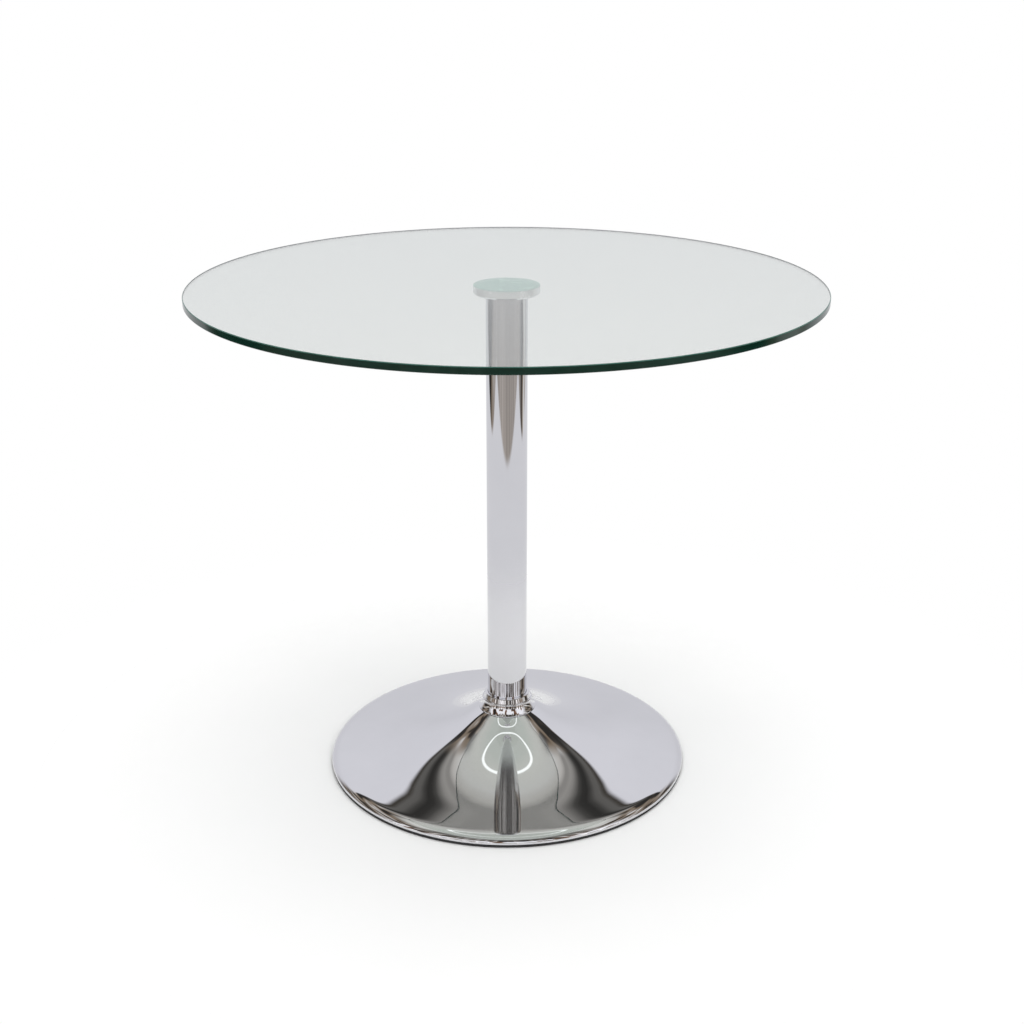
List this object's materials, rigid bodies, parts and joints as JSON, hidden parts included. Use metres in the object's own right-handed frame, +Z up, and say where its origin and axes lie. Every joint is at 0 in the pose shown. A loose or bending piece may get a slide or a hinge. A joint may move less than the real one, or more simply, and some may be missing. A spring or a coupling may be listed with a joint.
{
  "type": "dining table",
  "caption": "Round clear glass dining table on a chromed pedestal: slim tube column, stepped collar and wide flared base standing on a black rubber ring.",
  "frame": {"origin": "centre of the round footprint, on the floor", "axes": "+Z up along the column's axis; the table is round, so +X and +Y are any two horizontal directions"},
  "size_m": [0.8999, 0.9, 0.75],
  "materials": {
    "clear_glass": "polished toughened float glass, green at the edge",
    "clear_adhesive": "clear cured adhesive film",
    "satin_aluminium": "fine turned, satin",
    "chrome": "bright chromium plate, mirror polished",
    "plain_steel": "machined, lightly oiled",
    "zinc_steel": "bright zinc plated",
    "painted_cast_iron": "black primer over sand-cast iron",
    "pad_rubber": "matt closed-cell rubber",
    "black_rubber": "matt extruded rubber"
  },
  "bodies": {
    "root": {"glass_top": "clear_glass", "bond_film": "clear_adhesive", "top_disc": "satin_aluminium", "column_tube": "chrome", "column_top_plug": "plain_steel", "column_foot_plug": "plain_steel", "tie_rod": "zinc_steel", "collar": "chrome", "collar_o_ring": "black_rubber", "base_shell": "chrome", "neck_plate": "plain_steel", "spacer_sleeve": "zinc_steel", "ballast_disc": "painted_cast_iron", "damping_pads": "pad_rubber", "rod_washer": "zinc_steel", "rod_lock_washer": "zinc_steel", "rod_nut": "zinc_steel", "floor_ring": "black_rubber"}
  },
  "joints": []
}
